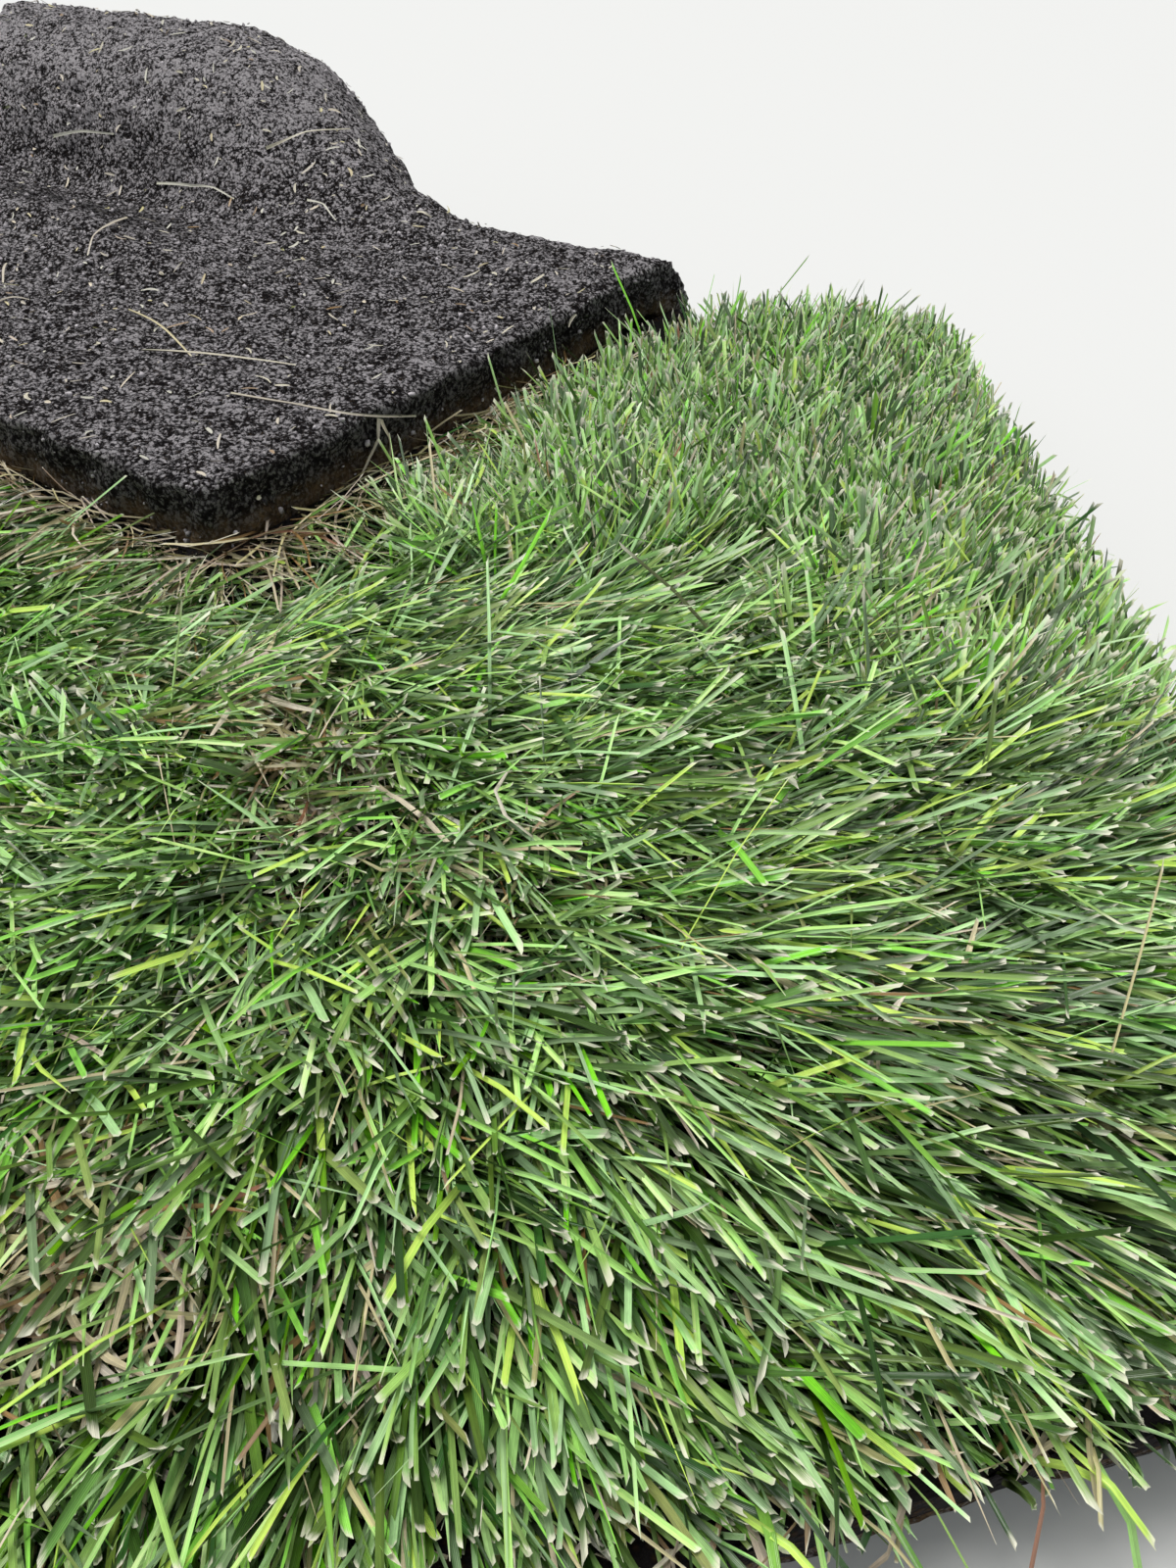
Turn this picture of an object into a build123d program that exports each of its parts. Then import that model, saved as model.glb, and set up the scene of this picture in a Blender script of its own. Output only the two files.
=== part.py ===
from build123d import *

import os
from collections import namedtuple
from math import cos, radians, sin, tan

# A strip of turf, its far end rolled back over itself and slid askew: grass side up in front, soil side up
# behind. Millimetres. X runs along the fold, Y from the free end to the back of the loop, Z up. The strip's
# own length runs askew to Y, turned about Z by fold_skew.

# The strip as cut
strip_width = 610.0
soil_thickness = 30.0
right_side_length = 560.0
near_end_askew = 14.0
corner_radius = 22.0

# The sward, standing open and pressed flat between two turns
open_sward = 24.0
pressed_sward = 10.0
sward_overhang = 15.0
sward_lip = 12.0
sward_rounding = 9.0

# Where the turned-over end lies, from the middle of the near end
fold_skew = 30.0
flap_right = -213.0
flap_free_end = 292.0
flap_end_askew = 5.0
flap_side_askew = 4.5
flap_corner_radius = 12.0

# The loop: tight at its right end, swelling into an open hump towards the left
tight_crest = 84.0
hump_crest = 160.0
tight_rear = 650.0
hump_rear = 750.0
tight_run = 105.0
swell_run = 210.0
swell_steps = 4

# The dip between the hump and the flat of the flap
dip_place = 573.0
ridge_place = 507.0
flat_place = 432.0
dip_rise = 3.0
ridge_rise = 19.0
slope_points = 5

# The open bore inside the hump
bore_throat = 7.0
bore_nose = 4.0
bore_nose_reach = 78.0

# Spare lengths that are trimmed to the strip's outline
spare = 60.0
lap = 90.0

flap_rest = soil_thickness + 2 * pressed_sward
middle = soil_thickness / 2
skew = radians(fold_skew)
half_width = strip_width / 2
near_slope = half_width * tan(radians(near_end_askew))
left_reach = half_width / cos(skew) + hump_rear * sin(skew)

Station = namedtuple("Station", "x crest rear swell")


def station(x):
    """The loop's height and rearmost reach at x, and how far it has swollen from tight (0) to open (1)."""
    run = min(max((flap_right - tight_run - x) / swell_run, 0), 1)
    swell = run * run * (3 - 2 * run)
    crest = tight_crest + (hump_crest - tight_crest) * swell
    rear = tight_rear + (hump_rear - tight_rear) * swell
    return Station(x, crest, rear, swell)


def loop_radius(at):
    """Radius of the loop on the middle of the soil's thickness."""
    return (at.crest - soil_thickness) / 2


def lift_off(at):
    """Y where the lower turn leaves the ground and the loop begins."""
    return at.rear - loop_radius(at) - middle


def slope_at(at, side):
    """Points from the loop's crest down over the dip and the ridge to the flap, at side from the middle."""
    rest = flap_rest + middle
    with BuildLine(mode=Mode.PRIVATE) as run:
        Spline(
            (lift_off(at), at.crest - middle),
            (dip_place, rest + dip_rise),
            (ridge_place, rest + ridge_rise * at.swell),
            (flat_place, rest),
            tangents=[(-1, 0), (-1, 0)],
        )
    edge = run.line.edge()
    points = []
    for step in range(slope_points):
        place = step / (slope_points - 1)
        along = edge.tangent_at(place)
        point = edge.position_at(place) + Vector(along.Y, -along.X) * side
        points.append((point.X, point.Y))
    return points


def turn(at, side):
    """One face of the turf, from the lift-off round the loop to the free end, at side from its middle."""
    points = slope_at(at, side)
    JernArc(start=(lift_off(at), middle - side), tangent=(1, 0), radius=loop_radius(at) + side, arc_size=180)
    Spline(*points, tangents=[(-1, 0), (-1, 0)])
    Line(points[-1], (flap_free_end - spare, points[-1][1]))


def soil_section(at):
    """The soil's section: the turn's two faces, closed at the lap and at the free end."""
    free_end = flap_free_end - spare
    foot = lift_off(at)
    with BuildSketch(Plane.YZ.offset(at.x)) as section:
        with BuildLine():
            turn(at, middle)
            turn(at, -middle)
            Line((free_end, flap_rest), (free_end, flap_rest + soil_thickness))
            Polyline((foot, 0), (foot - lap, 0), (foot - lap, soil_thickness), (foot, soil_thickness))
        make_face()
    return section.sketch


def filling_section(at):
    """What lies between the lower turn and the middle of the upper one."""
    free_end = flap_free_end - spare
    with BuildSketch(Plane.YZ.offset(at.x)) as section:
        with BuildLine():
            turn(at, 0)
            Polyline((free_end, flap_rest + middle), (free_end, middle), (lift_off(at), middle))
        make_face()
    return section.sketch


def bore_section(at):
    """The open bore: round at the back of the loop, drawn to a nose where the sward closes again."""
    back = bore_throat + (loop_radius(at) - middle - pressed_sward - bore_throat) * at.swell
    nose = min(bore_nose, back / 2)
    floor = soil_thickness + pressed_sward
    with BuildSketch(Plane.YZ.offset(at.x)) as section:
        with Locations((lift_off(at), floor + back)):
            Circle(back)
        with Locations((lift_off(at) - back - bore_nose_reach * at.swell, floor + nose)):
            Circle(nose)
        make_hull()
    return section.sketch


fold_right = flap_right + (tight_rear - flap_free_end) * tan(radians(flap_side_askew))
swell_start = flap_right - tight_run
swelling = [station(swell_start - swell_run * step / swell_steps) for step in range(1, swell_steps + 1)]
right_end = station(fold_right + spare)
left_end = station(-left_reach - spare)
stations = [right_end, station(swell_start)] + swelling + [left_end]


def strip_point(across, along):
    """A point of the strip, across from its middle line and along from the middle of its near end."""
    return (across * cos(skew) - along * sin(skew), across * sin(skew) + along * cos(skew))


near_right = strip_point(half_width, near_slope)
near_left = strip_point(-half_width, -near_slope)
far_right = strip_point(half_width, near_slope + right_side_length)
flap_corner = (flap_right, flap_free_end)


def strip_outline():
    """The lower turn in plan, out to the line where it lifts off the ground."""
    beyond_left = strip_point(-strip_width, -2 * near_slope)
    with BuildSketch() as outline:
        with BuildLine():
            fold = [(at.x, lift_off(at)) for at in stations[1:]]
            Polyline(beyond_left, near_right, far_right, (fold_right, lift_off(right_end)), *fold, beyond_left)
        make_face()
        Rectangle(strip_width, 4 * strip_width, rotation=fold_skew, mode=Mode.INTERSECT)
        corners = [outline.vertices().sort_by_distance(point)[0] for point in (near_right, near_left, far_right)]
        fillet(corners, corner_radius)
    return outline.sketch


def flap_outline():
    """The turned-over end in plan, with the loop behind it."""
    width = flap_right - left_end.x
    beyond = 2 * hump_rear
    with BuildSketch() as outline:
        with BuildLine():
            Polyline(
                flap_corner,
                (flap_right + (beyond - flap_free_end) * tan(radians(flap_side_askew)), beyond),
                (left_end.x, beyond),
                (left_end.x, flap_free_end + width * tan(radians(flap_end_askew))),
                flap_corner,
            )
        make_face()
        Rectangle(strip_width, 4 * strip_width, rotation=fold_skew, mode=Mode.INTERSECT)
        fillet(outline.vertices().sort_by_distance(flap_corner)[0], flap_corner_radius)
    return outline.sketch


# The soil with its roots: the lower turn flat on the ground, and the loop and flap lofted along the fold
with BuildPart() as soil_mat:
    loft([soil_section(at) for at in stations], ruled=True)
    extrude(flap_outline(), amount=2 * hump_crest, mode=Mode.INTERSECT)
    extrude(strip_outline(), amount=soil_thickness)


# The sward: blades standing on the open part, pressed together under the flap and lining the loop
with BuildPart() as grass_sward:
    with BuildSketch(Plane.XY.offset(soil_thickness - sward_lip)) as open_ground:
        add(strip_outline())
        offset(amount=sward_overhang)
    extrude(amount=sward_lip + open_sward)
    fillet(grass_sward.edges().group_by(Axis.Z)[-1], sward_rounding)
    filling = extrude(flap_outline(), amount=2 * hump_crest, mode=Mode.PRIVATE)
    gap = loft([filling_section(at) for at in stations], ruled=True, mode=Mode.PRIVATE)
    add(filling & gap)
    add(soil_mat.part, mode=Mode.SUBTRACT)
    loft([bore_section(at) for at in stations[1:]], ruled=True, mode=Mode.SUBTRACT)

os.makedirs("parts", exist_ok=True)
pieces = {"soil_mat": soil_mat, "grass_sward": grass_sward}
footprint = Compound([piece.part for piece in pieces.values()]).bounding_box()
to_origin = Location((-footprint.center().X, -footprint.center().Y, -footprint.min.Z))
for name, piece in pieces.items():
    placed = piece.part.moved(to_origin)
    placed.label = name
    export_step(placed, f"parts/{name}.step")
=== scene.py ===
"""Dresses the strip of turf: crumbly peat, matted thatch and combed grass, on a plain stage."""

import math

import bmesh
import bpy
import numpy as np
from bpy.props import FloatProperty, FloatVectorProperty, IntProperty, PointerProperty
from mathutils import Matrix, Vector, noise
from mathutils.bvhtree import BVHTree


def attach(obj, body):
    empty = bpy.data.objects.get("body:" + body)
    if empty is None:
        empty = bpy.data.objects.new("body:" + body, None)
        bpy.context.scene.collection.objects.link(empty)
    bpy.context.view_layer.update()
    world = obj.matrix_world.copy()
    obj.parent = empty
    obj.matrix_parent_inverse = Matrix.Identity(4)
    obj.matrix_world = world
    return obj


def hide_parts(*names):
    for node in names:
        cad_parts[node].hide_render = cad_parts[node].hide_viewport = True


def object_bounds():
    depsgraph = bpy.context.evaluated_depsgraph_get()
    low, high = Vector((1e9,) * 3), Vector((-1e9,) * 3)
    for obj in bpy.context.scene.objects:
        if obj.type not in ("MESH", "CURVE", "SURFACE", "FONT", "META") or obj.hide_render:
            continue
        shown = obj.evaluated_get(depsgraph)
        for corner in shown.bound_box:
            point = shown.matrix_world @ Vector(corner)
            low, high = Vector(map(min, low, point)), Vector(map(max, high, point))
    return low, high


bl_info = {
    "name": "Turf dressing",
    "version": (1, 0, 0),
    "blender": (4, 5, 0),
    "location": "3D View > Sidebar > Turf",
    "description": "Peat, thatch and grass for a strip of turf with its far end turned over",
    "category": "Object",
}

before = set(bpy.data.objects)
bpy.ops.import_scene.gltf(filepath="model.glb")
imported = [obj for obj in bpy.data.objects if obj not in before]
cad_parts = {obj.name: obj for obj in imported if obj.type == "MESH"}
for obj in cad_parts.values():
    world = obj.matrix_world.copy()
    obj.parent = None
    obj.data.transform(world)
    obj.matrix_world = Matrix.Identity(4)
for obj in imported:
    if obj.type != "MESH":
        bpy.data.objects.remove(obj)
cad_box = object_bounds()

# The strip lies askew in the frame: across it to the right, and along it away from its near end
SKEW = math.radians(30)
NEAR_MIDDLE = np.array((0.27507, -0.26516))
NEAR_SLOPE = math.tan(math.radians(14))
SOIL_TOP = 0.030
UNDER_FLAP = 0.049
LEVEL = 0.003
BLADE_REACH = 0.08
MM = 1000
UP, DOWN = Vector((0, 0, 1)), Vector((0, 0, -1))

# Each blade takes one column of the colour chart, within its margins, and runs up it from root to tip
CHART = "OFBake"
COLUMNS = 64
MARGIN = 0.12
# The deep columns are painted shade: their dark blades stand in for the shade deep in the sward
KINDS = {
    "deep": (0, 9), "mid": (9, 27), "bluish": (27, 41), "lime": (41, 49), "olive": (49, 52), "straw": (52, 57),
    "cream": (57, 60), "brown": (60, 63), "rust": (63, 64),
}

# How the grass is combed: across and along the strip in mm, heading in degrees, and 0 upright to 1 flat
COMBED = (
    (-250, 0, -100, 0.85), (-150, 40, -95, 0.85), (-60, 60, -88, 0.8), (9, 40, -73, 0.8), (54, 57, -78, 0.8),
    (97, 70, -63, 0.85), (123, 48, -50, 0.8), (155, 72, -52, 0.85), (195, 77, -62, 0.8), (270, 85, -55, 0.85),
    (-21, 130, -96, 0.85), (14, 104, -84, 0.85), (45, 111, -79, 0.85), (79, 104, -70, 0.85), (110, 116, -60, 0.85),
    (146, 119, -50, 0.9), (192, 104, -46, 0.9), (230, 138, -28, 0.95), (189, 130, -37, 0.95),
    (-280, 120, -150, 0.85), (-160, 150, -140, 0.85), (-26, 167, -127, 0.9), (-6, 189, -118, 0.9), (2, 148, -99, 0.9),
    (33, 167, -87, 0.85), (63, 154, -70, 0.85), (84, 181, -52, 0.9), (95, 151, -56, 0.85), (130, 160, -31, 0.95),
    (172, 167, -19, 1.0), (213, 167, -11, 1.0), (260, 167, -8, 1.0),
    (-180, 230, -160, 0.85), (-50, 230, -163, 0.85), (-16, 240, -146, 0.8), (21, 249, -62, 0.7), (47, 217, -81, 0.8),
    (69, 240, -40, 0.9), (105, 230, -9, 0.95), (145, 213, 17, 1.0), (190, 209, 6, 1.0), (232, 204, -3, 1.0),
    (-66, 281, -15, 0.9), (-34, 311, -9, 0.95), (10, 317, -4, 1.0), (52, 281, -16, 0.95), (92, 270, 7, 1.0),
    (137, 259, 19, 0.95), (173, 249, 31, 0.8), (219, 259, 38, 0.5), (260, 249, 34, 0.6), (288, 287, 52, 0.35),
    (-77, 358, -9, 0.9), (-24, 344, -6, 1.0), (51, 330, 6, 1.0), (91, 317, 7, 1.0), (133, 311, 17, 1.0),
    (163, 330, -50, 0.7), (208, 304, 71, 0.3), (249, 330, 66, 0.25), (282, 344, 68, 0.2),
    (66, 373, 109, 0.5), (89, 397, 101, 0.35), (125, 389, 93, 0.3), (170, 397, 87, 0.2), (206, 373, 78, 0.2),
    (55, 423, -37, 0.7), (105, 483, 92, 0.2), (154, 529, 83, 0.15), (231, 554, 80, 0.15), (290, 423, 78, 0.15),
    (290, 554, 88, 0.12),
    (160, 624, 86, 0.15), (221, 673, 81, 0.15), (-200, 330, 170, 0.8),
)

# Where the sward is thin and the thatch shows: across, along and radius in mm
THIN = (
    (-14, 283, 24), (19, 251, 22), (20, 228, 14), (-66, 300, 18), (206, 290, 20), (245, 300, 24), (276, 283, 14),
    (-27, 95, 28), (2, 86, 24), (53, 77, 14), (62, 203, 13), (88, 211, 10), (178, 146, 12), (-120, 180, 26),
)
# Where the blades lie criss-cross: across, along and radius in mm
JUMBLED = ((-60, 250, 190), (-120, 90, 110), (60, 220, 60), (190, 290, 90), (180, 480, 200))

# Long dry stalks on the peat, by where they lie in the camera's picture, in pixels
PICTURE = (1200, 1600)
SENSOR = 36
STALKS = (
    ((131, 224), (112, 233), (98, 246), (91, 262)),
    ((160, 189), (200, 190), (222, 196), (240, 204)),
    ((145, 360), (200, 366), (255, 371), (302, 375)),
    ((235, 404), (300, 420), (360, 428), (422, 424)),
    ((314, 206), (330, 214), (344, 226)),
    ((425, 219), (440, 223)),
    ((10, 270), (4, 290)),
    ((0, 310), (30, 308)),
    ((272, 152), (312, 140), (356, 133)),
    ((56, 140), (86, 136), (118, 137)),
    ((130, 318), (168, 340), (196, 366)),
    ((386, 426), (380, 448), (373, 468), (366, 486)),
    ((388, 427), (390, 442), (393, 456), (396, 468)),
)

worked_out = {}


def to_strip(places):
    """How far across and along the strip places in the frame lie, in mm."""
    x, y = (places - NEAR_MIDDLE).T
    return MM * (x * math.cos(SKEW) + y * math.sin(SKEW)), MM * (y * math.cos(SKEW) - x * math.sin(SKEW))


def node_tree(name):
    """The search tree over a CAD node's faces, worked out once."""
    if name not in worked_out:
        shape = bmesh.new()
        shape.from_mesh(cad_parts[name].data)
        worked_out[name] = BVHTree.FromBMesh(shape)
        shape.free()
    return worked_out[name]


class Ground:
    """Heights of the soil as seen from above, on an even grid."""

    step = 0.0025
    edge = 4
    beyond = -1.0

    def __init__(self, tree):
        low, high = (np.array(corner) for corner in cad_box)
        self.low = low[:2] - self.edge * self.step
        self.size = np.ceil((high[:2] - low[:2]) / self.step).astype(int) + 2 * self.edge
        above = high[2] + BLADE_REACH
        self.height = np.full(self.size, self.beyond)
        for i in range(self.size[0]):
            x = self.low[0] + i * self.step
            for j in range(self.size[1]):
                hit = tree.ray_cast(Vector((x, self.low[1] + j * self.step, above)), DOWN)[0]
                if hit is not None:
                    self.height[i, j] = hit.z
        self.is_open = abs(self.height - SOIL_TOP) < LEVEL
        self.is_turned = self.height > SOIL_TOP + LEVEL
        self.open_cells = self.low + np.argwhere(self.is_open) * self.step

    def look_up(self, grid, x, y):
        """The grid's values at places in the frame."""
        i = np.clip(np.rint((x - self.low[0]) / self.step).astype(int), 0, self.size[0] - 1)
        j = np.clip(np.rint((y - self.low[1]) / self.step).astype(int), 0, self.size[1] - 1)
        return grid[i, j]

    def look_out(self, grid, places, distance, heading):
        """The grid's values at a distance from places along their headings."""
        x, y = places[:, 0] + distance * np.cos(heading), places[:, 1] + distance * np.sin(heading)
        return self.look_up(grid, x, y)

    def near_turned(self, places, reach):
        """How much of a circle round places in the frame is under the turned part, from 0 to 1."""
        turns = np.arange(12) * math.pi / 6
        return np.mean([self.look_out(self.is_turned, places, reach, turn) for turn in turns], axis=0)

    def room(self, places, heading):
        """How far it is from places along their headings to the end of the soil, as far as a blade reaches."""
        room = np.full(len(places), BLADE_REACH)
        stride = 0.004
        for distance in np.arange(BLADE_REACH - stride, 0, -stride):
            room[self.look_out(self.height, places, distance, heading) < 0] = distance
        return room

    def within(self, rng, picked):
        """Random places within chosen open cells."""
        return self.open_cells[picked] + rng.uniform(-1, 1, (len(picked), 2)) * self.step / 2


def grow(roots, heading, rise, fall, length, curl, rows):
    """Spines of many blades: they leave the roots at the angle rise, bend over to fall, and hang over edges."""
    ground = open_ground()
    sag, steepest, early_bend = 1.6, -1.25, 0.62
    off_floor, off_soil, lid_slack, no_lid = 0.003, 0.002, 0.004, 1.0
    count = len(roots)
    spine = np.empty((count, rows + 1, 3))
    spine[:, 0] = roots
    hang = np.zeros(count)
    bearings, pitches = np.empty((2, count, rows + 1))
    for row in range(rows):
        here = spine[:, row]
        share = (row + 0.5) / rows
        bearing = heading + curl * share
        beyond = ground.look_up(ground.height, here[:, 0], here[:, 1]) < 0
        hang = hang + np.where(beyond, sag / rows, 0)
        pitch = np.maximum(rise + (fall - rise) * share ** early_bend - hang, steepest)
        level = np.cos(pitch)
        ahead = np.stack((level * np.cos(bearing), level * np.sin(bearing), np.sin(pitch)), axis=-1)
        there = here + ahead * (length / rows)[:, None]
        height = ground.look_up(ground.height, there[:, 0], there[:, 1])
        rest = np.where(height < 0, off_floor, SOIL_TOP + off_soil)
        below = (height > SOIL_TOP + LEVEL) & (here[:, 2] < UNDER_FLAP + lid_slack)
        there[:, 2] = np.clip(there[:, 2], rest, np.where(below, UNDER_FLAP, no_lid))
        spine[:, row + 1] = there
        bearings[:, row] = bearing
        pitches[:, row] = pitch
    bearings[:, rows] = bearings[:, rows - 1]
    pitches[:, rows] = pitches[:, rows - 1]
    return spine, bearings, pitches


def blade_axes(bearings, pitches, twist):
    """The directions across each blade and out of its upper face, turned about the blade by twist."""
    steep = np.sin(pitches)
    side = np.stack((-np.sin(bearings), np.cos(bearings), np.zeros_like(bearings)), axis=-1)
    out = np.stack((-steep * np.cos(bearings), -steep * np.sin(bearings), np.cos(pitches)), axis=-1)
    cos, sin = np.cos(twist)[..., None], np.sin(twist)[..., None]
    return side * cos + out * sin, out * cos - side * sin


def template(make, **sizes):
    """The points and faces that a bmesh operator makes, once."""
    shape = bmesh.new()
    make(shape, **sizes)
    points = np.array([vertex.co[:] for vertex in shape.verts])
    faces = np.array([[vertex.index for vertex in face.verts] for face in shape.faces])
    shape.free()
    return points, faces


def joined(name, points, faces, material, chart=None):
    """One smooth mesh of many alike things: the points of each, the faces that all have, and the points' UVs."""
    count, size = points.shape[:2]
    loops = (faces[None] + (np.arange(count) * size)[:, None, None]).reshape(-1, faces.shape[1])
    mesh = bpy.data.meshes.new(name)
    mesh.vertices.add(count * size)
    mesh.vertices.foreach_set("co", points.astype(np.float32).ravel())
    mesh.loops.add(loops.size)
    mesh.loops.foreach_set("vertex_index", loops.astype(np.int32).ravel())
    mesh.polygons.add(len(loops))
    mesh.polygons.foreach_set("loop_start", np.arange(len(loops), dtype=np.int32) * faces.shape[1])
    mesh.polygons.foreach_set("use_smooth", np.ones(len(loops), dtype=bool))
    if chart is not None:
        corners = chart.reshape(-1, 2)[loops.ravel()].astype(np.float32)
        mesh.uv_layers.new(name=CHART).uv.foreach_set("vector", corners.ravel())
    mesh.materials.append(material)
    mesh.update(calc_edges=True)
    mesh.validate()
    return place(name, mesh)


def ribbons(name, spine, side, out, width, fold, column, slant, taper, foot=0.01):
    """Joins many blades into one piece, with the chart's column and the way up from the foot as its UV map."""
    count, rows = spine.shape[0], spine.shape[1] - 1
    grid, faces = template(bmesh.ops.create_grid, x_segments=2 if fold else 1, y_segments=rows, size=1)
    across, up = grid[:, 0], grid[:, 1] / 2 + 0.5
    row = np.rint(up * rows).astype(int)
    side, out = (np.broadcast_to(axes.reshape(count, -1, 3), spine.shape) for axes in (side, out))
    half = width[:, None] / 2 * np.broadcast_to(taper, (count, rows + 1))[:, row]
    points = spine[:, row] + side[:, row] * (half * across)[..., None]
    points = points + out[:, row] * (half * (np.abs(across) - 0.5) * fold)[..., None]
    tip = (row == rows)[None, :, None]
    along = spine[:, -1] - spine[:, -2]
    points = points + tip * along[:, None] * (slant[:, None] * across)[..., None]
    u = (column[:, None] + MARGIN + (1 - 2 * MARGIN) * (across / 2 + 0.5)) / COLUMNS
    foot = np.broadcast_to(foot, count)[:, None]
    v = foot + (0.99 - foot) * up
    return joined(name, points, faces, shared("grass_blades", blade_material), np.stack((u, v), axis=-1))


def link(name, data):
    """A new object in the scene, at the origin."""
    made = bpy.data.objects.new(name, data)
    bpy.context.scene.collection.objects.link(made)
    return made


def place(name, mesh):
    """A finished piece, riding on the one body."""
    piece = link(name, mesh)
    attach(piece, "root")
    return piece


def pick(rng, count, **shares):
    """Chart columns for count blades, drawn from the named kinds by their shares."""
    weight = np.array(list(shares.values()), float)
    kind = rng.choice(len(shares), count, p=weight / weight.sum())
    low, high = np.array([KINDS[name] for name in shares])[kind].T
    return low + np.floor(rng.random(count) * (high - low))


def even_copy(name, source, voxel, smoothing, above=None, below=None):
    """A copy of a CAD node, or of the part above or below a level, with small even faces and rounded edges."""
    shape = bmesh.new()
    shape.from_mesh(source.data)
    bmesh.ops.remove_doubles(shape, verts=shape.verts, dist=1e-5)
    for level, way in ((above, -1), (below, 1)):
        if level is not None:
            parts = shape.verts[:] + shape.edges[:] + shape.faces[:]
            bmesh.ops.bisect_plane(shape, geom=parts, plane_co=level * UP, plane_no=way * UP, clear_outer=True)
            bmesh.ops.holes_fill(shape, edges=[edge for edge in shape.edges if edge.is_boundary])
    bmesh.ops.triangulate(shape, faces=shape.faces)
    rough = bpy.data.meshes.new(name + "_rough")
    shape.to_mesh(rough)
    shape.free()
    holder = link(name + "_rough", rough)
    even = holder.modifiers.new("even", "REMESH")
    even.mode = "VOXEL"
    even.voxel_size = voxel
    soften = holder.modifiers.new("soften", "SMOOTH")
    soften.iterations = smoothing
    bpy.context.view_layer.update()
    finished = bpy.data.meshes.new_from_object(holder.evaluated_get(bpy.context.evaluated_depsgraph_get()))
    bpy.data.objects.remove(holder)
    bpy.data.meshes.remove(rough)
    finished.name = name
    finished.polygons.foreach_set("use_smooth", np.ones(len(finished.polygons), dtype=bool))
    return finished


def read_points(mesh):
    """A mesh's points and their normals, as arrays."""
    points, normals = np.empty((2, len(mesh.vertices) * 3))
    mesh.vertices.foreach_get("co", points)
    mesh.vertex_normals.foreach_get("vector", normals)
    return points.reshape(-1, 3), normals.reshape(-1, 3)


def crumble(mesh, lump, grain, pit):
    """Roughens a peat surface: soft lumps, grains and small pits, each a height in metres."""
    lumps, grains, pits, patches, sides = 45, 210, 95, 30, 75  # to a metre
    pit_width, steep, more_on_sides = 0.32, 0.7, 1.6
    points, normals = read_points(mesh)
    heights = np.empty(len(points))
    for index, point in enumerate(points):
        where = Vector(point)
        soft = noise.fractal(where * lumps, 1.0, 2.0, 3, noise_basis="PERLIN_ORIGINAL")
        fine = noise.turbulence(where * grains, 2, False, noise_basis="PERLIN_ORIGINAL")
        near = noise.voronoi(where * pits)[0][0]
        hollow = max(0.0, pit_width - near) / pit_width if noise.noise(where * patches) > 0.1 else 0.0
        heights[index] = lump * soft + grain * (fine - 0.4) - pit * hollow
        if abs(normals[index, 2]) < steep:
            heights[index] += more_on_sides * lump * noise.noise(where * sides)
    points = points + normals * heights[:, None]
    points[:, 2] = np.maximum(points[:, 2], 0)
    mesh.vertices.foreach_set("co", points.ravel())
    mesh.update()


def paint_roots(mesh, tree, reach):
    """Stores on each vertex how near it is to the grass: 1 on its surface, 0 at reach or further."""
    values = np.zeros(len(mesh.vertices), dtype=np.float32)
    for vertex in mesh.vertices:
        distance = tree.find_nearest(vertex.co, reach)[3]
        if distance is not None:
            values[vertex.index] = 1 - distance / reach
    mesh.attributes.new("roots", "FLOAT", "POINT").data.foreach_set("value", values)


class Tree:
    """Short calls for building a material's or a group's nodes."""

    def __init__(self, tree):
        self.nodes, self.links = tree.nodes, tree.links

    def node(self, kind, settings=None, **inputs):
        """A node with its settings, and inputs by name that are values or other sockets."""
        made = self.nodes.new(kind)
        for key, value in (settings or {}).items():
            setattr(made, key, value)
        self.fill(made, **inputs)
        return made

    def fill(self, made, **inputs):
        """Sets a node's inputs by name, or links other sockets to them."""
        for key, value in inputs.items():
            self.feed(made.inputs[key.replace("_", " ")], value)

    def feed(self, socket, value):
        """Sets a socket, or links another one to it."""
        if isinstance(value, bpy.types.NodeSocket):
            self.links.new(value, socket)
        else:
            socket.default_value = value

    def math(self, operation, *values):
        """The result of a Math node."""
        made = self.node("ShaderNodeMath", {"operation": operation})
        for socket, value in zip(made.inputs, values):
            self.feed(socket, value)
        return made.outputs[0]

    def times(self, first, second):
        """One value times another."""
        return self.math("MULTIPLY", first, second)

    def line(self, value, slope, start):
        """A value times a slope, plus a start."""
        return self.math("MULTIPLY_ADD", value, slope, start)

    def step(self, value, low, high):
        """A smooth step from 0 at low to 1 at high."""
        made = self.node("ShaderNodeMapRange", {"interpolation_type": "SMOOTHSTEP"}, Value=value)
        self.feed(made.inputs["From Min"], low)
        self.feed(made.inputs["From Max"], high)
        return made.outputs["Result"]

    def noise(self, where, scale, detail, roughness=0.5):
        """Noise from 0 to 1."""
        made = self.node("ShaderNodeTexNoise", Vector=where, Scale=scale, Detail=detail, Roughness=roughness)
        return made.outputs["Fac"]

    def mix(self, share, first, second):
        """A colour between two others."""
        made = self.node("ShaderNodeMix", {"data_type": "RGBA"}, Factor=share, A=first, B=second)
        return made.outputs["Result"]

    def ramp(self, share, stops):
        """A colour ramp through stops of place and colour."""
        made = self.nodes.new("ShaderNodeValToRGB")
        points = made.color_ramp.elements
        while len(points) < len(stops):
            points.new(0.5)
        for point, (where, colour) in zip(points, stops):
            point.position = where
            point.color = (*colour, 1)
        self.feed(made.inputs[0], share)
        return made.outputs[0]


def fresh_material(name):
    """A new material with its shader, and the calls for its nodes."""
    material = bpy.data.materials.new(name)
    material.use_nodes = True
    shader = material.node_tree.nodes["Principled BSDF"]
    return material, shader, Tree(material.node_tree)


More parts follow.
